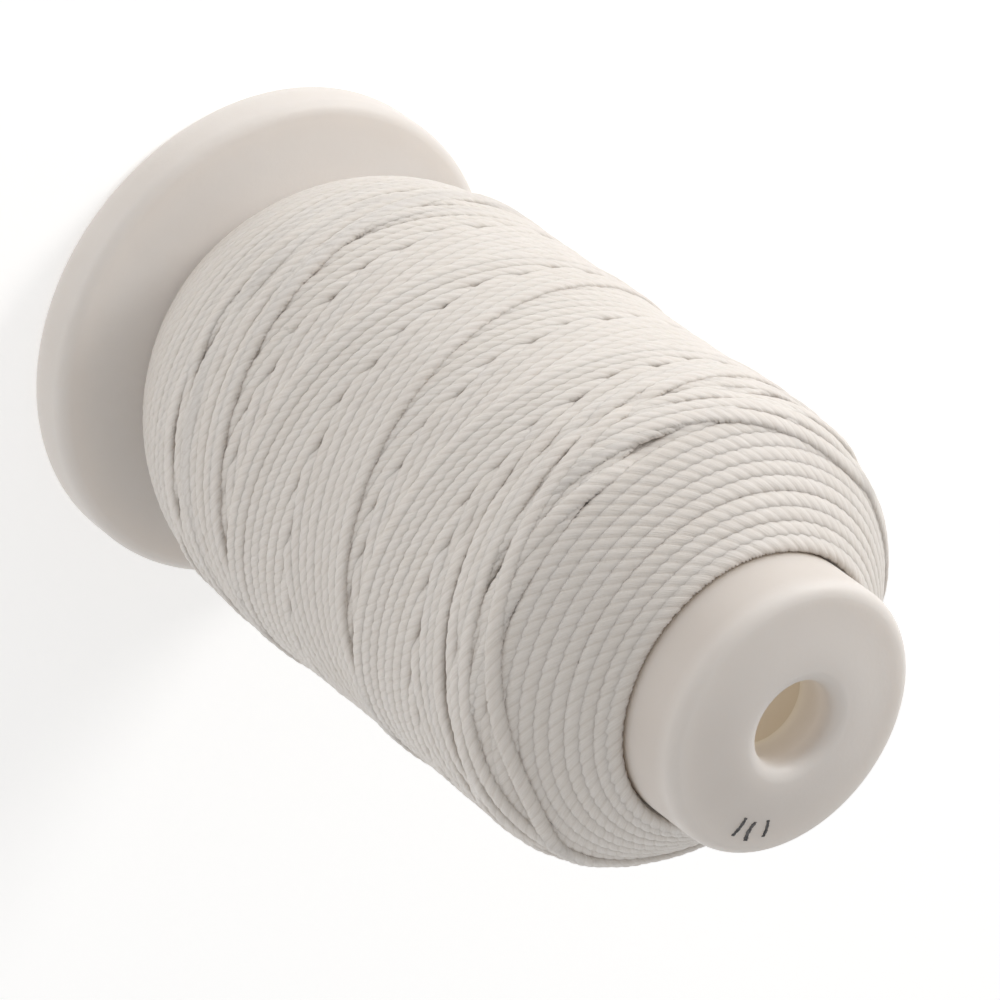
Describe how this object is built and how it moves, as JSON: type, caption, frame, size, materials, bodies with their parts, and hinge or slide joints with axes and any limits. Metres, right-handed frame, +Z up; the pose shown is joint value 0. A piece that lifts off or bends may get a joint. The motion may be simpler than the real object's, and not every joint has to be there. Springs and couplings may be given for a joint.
{
  "type": "waxed thread spool",
  "caption": "Upright spool of waxed sewing thread: a moulded tube with a rounded nose and spindle hole on a round base flange, full of twisted thread.",
  "frame": {"origin": "centre of the spool's underside, on the surface that it stands on", "axes": "+Z up along the spool's axis, from the base flange to the nose; +X and +Y are any two directions across the base"},
  "size_m": [0.057, 0.057, 0.0989],
  "materials": {
    "spool_plastic": "milky white moulded plastic with a soft satin skin",
    "label_paper": "blank uncoated paper",
    "thread": "natural white twisted thread with a light coat of wax"
  },
  "bodies": {
    "root": {"base_flange": "spool_plastic", "spool_tube": "spool_plastic", "base_label": "label_paper", "thread_inner_layers": "thread", "thread_outer_layers": "thread"}
  },
  "joints": []
}
